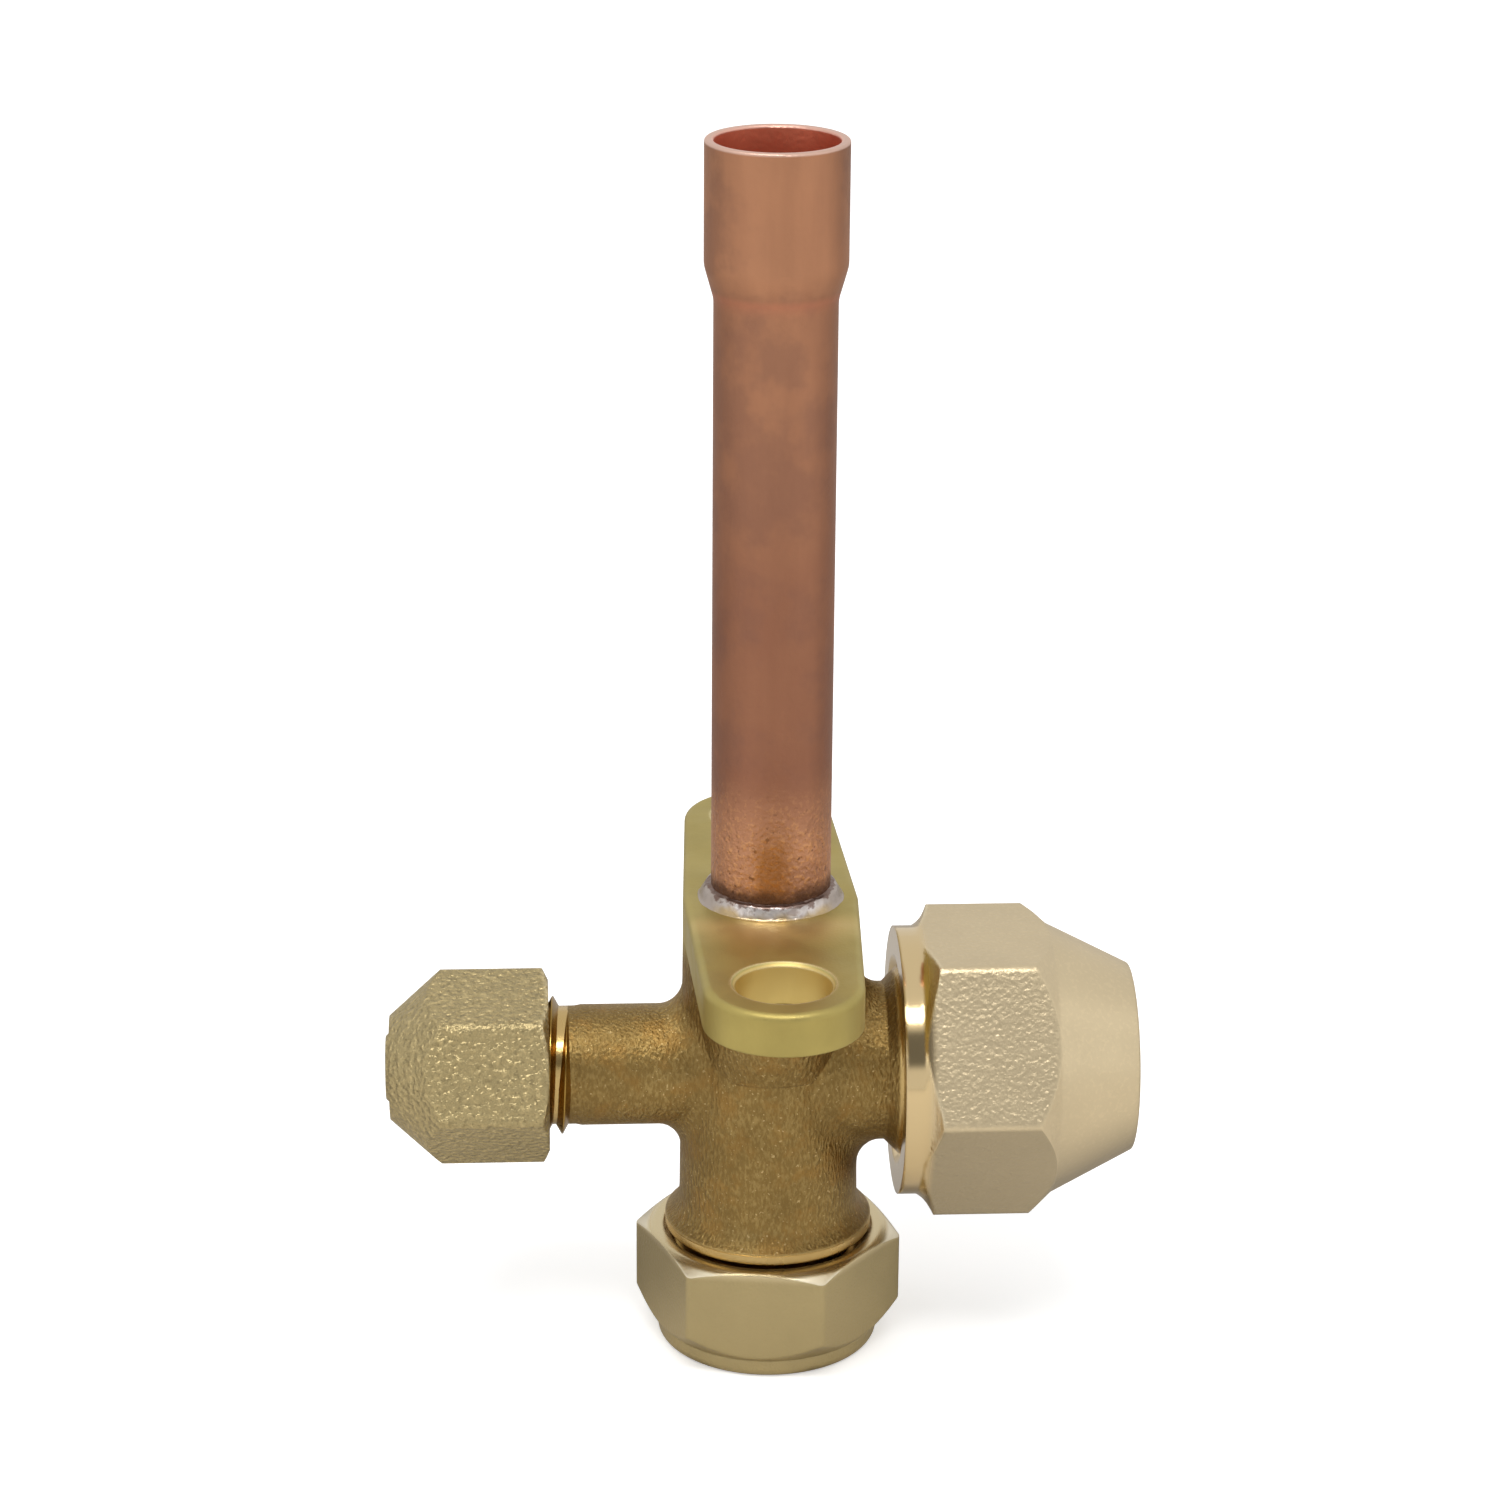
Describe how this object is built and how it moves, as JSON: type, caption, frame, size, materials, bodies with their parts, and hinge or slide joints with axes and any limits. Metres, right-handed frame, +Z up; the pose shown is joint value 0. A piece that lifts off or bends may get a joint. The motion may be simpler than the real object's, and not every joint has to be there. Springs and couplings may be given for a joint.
{
  "type": "refrigerant service valve",
  "caption": "Three-way refrigerant service valve: brazed copper stub, flare port with nut, capped charging port, capped hexagon-key stem and a plate with two mounting lugs.",
  "frame": {"origin": "on the mounting face, on the axis of the copper stub, midway between the two mounting holes", "axes": "+Z up the copper stub, +X out of the flare port, Y through the two mounting lugs"},
  "size_m": [0.0601, 0.0474, 0.0996],
  "materials": {
    "forged_brass": "as forged, machined faces",
    "turned_brass": "turned, lightly blasted",
    "copper": "drawn, satin",
    "braze": "silver braze, bright",
    "spring_steel": "bright",
    "rubber": "matt",
    "nylon": "matt",
    "gasket": "matt"
  },
  "bodies": {
    "valve": {"valve_body": "forged_brass", "copper_stub": "copper", "braze_bead": "braze", "stem_clip": "spring_steel", "core_head": "turned_brass", "core_barrel": "turned_brass", "core_gasket": "gasket", "core_spring": "spring_steel"},
    "stem_rings": {"stem_o_ring_1": "rubber", "stem_o_ring_2": "rubber"},
    "stem": {"valve_stem": "turned_brass"},
    "stem_cap_seal": {"stem_cap_seal": "nylon"},
    "stem_cap": {"stem_cap": "turned_brass"},
    "service_cap_seal": {"service_cap_seal": "rubber"},
    "service_cap": {"service_cap": "turned_brass"},
    "flare_nut": {"flare_nut": "turned_brass"},
    "core_plunger": {"core_pin": "turned_brass", "core_cup": "turned_brass", "core_pad": "rubber"}
  },
  "joints": [
    {"name": "stem_travel", "type": "slide", "parent": "valve", "child": "stem_rings", "axis": [0, 0, -1], "range_m": [0, 0.0042]},
    {"name": "stem_turn", "type": "hinge", "parent": "stem_rings", "child": "stem", "pos_m": [0, 0, -0.03], "axis": [0, 0, -1], "range_deg": [0, 1512]},
    {"name": "stem_cap_travel", "type": "slide", "parent": "valve", "child": "stem_cap_seal", "axis": [0, 0, -1], "range_m": [0, 0.0075]},
    {"name": "stem_cap_turn", "type": "hinge", "parent": "stem_cap_seal", "child": "stem_cap", "pos_m": [0, 0, -0.034], "axis": [0, 0, -1], "range_deg": [0, 1800]},
    {"name": "service_cap_travel", "type": "slide", "parent": "valve", "child": "service_cap_seal", "axis": [-1, 0, 0], "range_m": [0, 0.00762]},
    {"name": "service_cap_turn", "type": "hinge", "parent": "service_cap_seal", "child": "service_cap", "pos_m": [-0.024, 0, -0.0146], "axis": [-1, 0, 0], "range_deg": [0, 2160]},
    {"name": "flare_nut_travel", "type": "slide", "parent": "valve", "child": "flare_nut", "axis": [1, 0, 0], "range_m": [0, 0.0105]},
    {"name": "core_pin_press", "type": "slide", "parent": "valve", "child": "core_plunger", "axis": [1, 0, 0], "range_m": [0, 0.0016], "stiffness_N_per_m": 2000, "springref_m": -0.0015, "deforming": ["core_spring"]}
  ],
  "couplings": [
    {"joint": "stem_travel", "follows": "stem_turn", "m_per_rad": 0.00015915},
    {"joint": "stem_cap_travel", "follows": "stem_cap_turn", "m_per_rad": 0.00023873},
    {"joint": "service_cap_travel", "follows": "service_cap_turn", "m_per_rad": 0.00020212}
  ]
}
